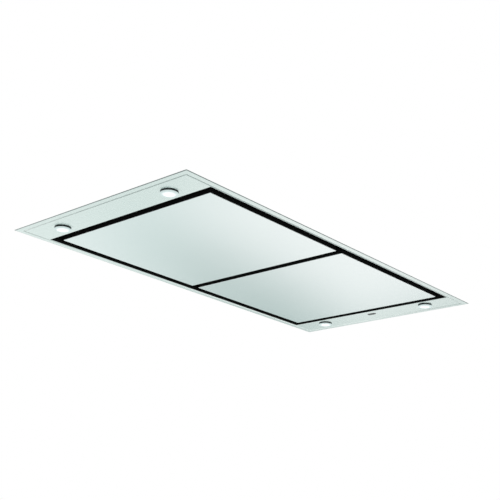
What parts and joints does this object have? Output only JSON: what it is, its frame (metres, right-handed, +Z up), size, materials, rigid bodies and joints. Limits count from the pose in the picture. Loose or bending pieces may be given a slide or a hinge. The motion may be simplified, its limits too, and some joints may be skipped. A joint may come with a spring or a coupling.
{
  "type": "ceiling range hood",
  "caption": "Flat rectangular ceiling range hood: steel frame with corner lamps, two drop-down suction panels with edge slots, filters, fan box with a round duct collar.",
  "frame": {"origin": "centre of the suspension rod holes, in the top faces of the two hanger rails", "axes": "+X along the hood's long side, +Y across it towards the duct collar's side, +Z up"},
  "size_m": [1.2, 0.6, 0.3181],
  "materials": {
    "stainless_satin": "satin",
    "stainless_brushed": "fine brushed",
    "galvanised_steel": "galvanised sheet",
    "black_coated_steel": "matt powder coat",
    "zinc_plated_steel": "bright zinc",
    "aluminium_sheet": "mill finish",
    "aluminium_mesh": "expanded mesh",
    "motor_metal": "painted",
    "lamp_trim": "satin",
    "lamp_body": "dark anodised",
    "lamp_lens": "diffusing",
    "smoked_acrylic": "polished",
    "black_plastic": "moulded",
    "grey_plastic": "moulded",
    "white_plastic": "moulded",
    "magnet_ferrite": "sintered",
    "foam_black": "foam",
    "rubber_black": "moulded"
  },
  "bodies": {
    "housing": {"face_frame": "stainless_satin", "ceiling_gasket": "foam_black", "rim_liner": "black_coated_steel", "lower_casing": "galvanised_steel", "bulkhead_left": "galvanised_steel", "bulkhead_right": "galvanised_steel", "filter_deck": "black_coated_steel", "centre_beam": "black_coated_steel", "motor_housing": "galvanised_steel", "housing_cover": "galvanised_steel", "hanger_rail_left": "galvanised_steel", "hanger_rail_right": "galvanised_steel", "outlet_collar": "galvanised_steel", "damper_pin": "zinc_plated_steel", "scroll_housing": "black_plastic", "inlet_ring": "black_plastic", "fan_feet": "rubber_black", "motor": "motor_metal", "motor_bracket": "zinc_plated_steel", "motor_grommets": "rubber_black", "control_box": "grey_plastic", "control_box_cover": "grey_plastic", "terminal_block": "white_plastic", "cable_gland": "black_plastic", "lamp_driver": "white_plastic", "motor_capacitor": "white_plastic", "receiver_window": "smoked_acrylic", "hinge_brackets_left": "zinc_plated_steel", "hinge_brackets_right": "zinc_plated_steel", "hinge_pins": "zinc_plated_steel", "panel_magnets": "magnet_ferrite", "filter_magnets": "magnet_ferrite", "body_screws": "zinc_plated_steel", "lamp_trim_left_front": "lamp_trim", "lamp_body_left_front": "lamp_body", "lamp_lens_left_front": "lamp_lens", "lamp_trim_left_back": "lamp_trim", "lamp_body_left_back": "lamp_body", "lamp_lens_left_back": "lamp_lens", "lamp_trim_right_front": "lamp_trim", "lamp_body_right_front": "lamp_body", "lamp_lens_right_front": "lamp_lens", "lamp_trim_right_back": "lamp_trim", "lamp_body_right_back": "lamp_body", "lamp_lens_right_back": "lamp_lens"},
    "panel_left": {"panel_skin_left": "stainless_brushed", "panel_backing_left": "black_coated_steel", "hinge_lugs_left": "zinc_plated_steel"},
    "panel_right": {"panel_skin_right": "stainless_brushed", "panel_backing_right": "black_coated_steel", "hinge_lugs_right": "zinc_plated_steel"},
    "filter_left": {"filter_frame_left": "aluminium_sheet", "filter_mesh_left": "aluminium_mesh"},
    "filter_right": {"filter_frame_right": "aluminium_sheet", "filter_mesh_right": "aluminium_mesh"},
    "fan_wheel": {"impeller": "black_plastic", "motor_shaft": "zinc_plated_steel"},
    "damper_left": {"damper_flap_left": "aluminium_sheet"},
    "damper_right": {"damper_flap_right": "aluminium_sheet"}
  },
  "joints": [
    {"name": "panel_left_hinge", "type": "hinge", "parent": "housing", "child": "panel_left", "pos_m": [-0.469, 0, -0.141], "axis": [0, 1, 0], "range_deg": [0, 90]},
    {"name": "panel_right_hinge", "type": "hinge", "parent": "housing", "child": "panel_right", "pos_m": [0.469, 0, -0.141], "axis": [0, -1, 0], "range_deg": [0, 90]},
    {"name": "filter_left_tilt", "type": "hinge", "parent": "housing", "child": "filter_left", "pos_m": [-0.4175, 0, -0.0873], "axis": [0, 1, 0], "range_deg": [0, 7.5]},
    {"name": "filter_right_tilt", "type": "hinge", "parent": "housing", "child": "filter_right", "pos_m": [0.4175, 0, -0.0873], "axis": [0, -1, 0], "range_deg": [0, 7.5]},
    {"name": "fan_spin", "type": "hinge", "parent": "housing", "child": "fan_wheel", "pos_m": [0, -0.03, 0.03], "axis": [0, 0, 1], "continuous": true},
    {"name": "damper_left_hinge", "type": "hinge", "parent": "housing", "child": "damper_left", "pos_m": [0.114, 0.232, 0.045], "axis": [0, 0, -1], "range_deg": [0, 75], "stiffness_Nm_per_rad": 0.012, "springref_deg": -17.19},
    {"name": "damper_right_hinge", "type": "hinge", "parent": "housing", "child": "damper_right", "pos_m": [0.114, 0.232, 0.045], "axis": [0, 0, 1], "range_deg": [0, 75], "stiffness_Nm_per_rad": 0.012, "springref_deg": -17.19}
  ]
}
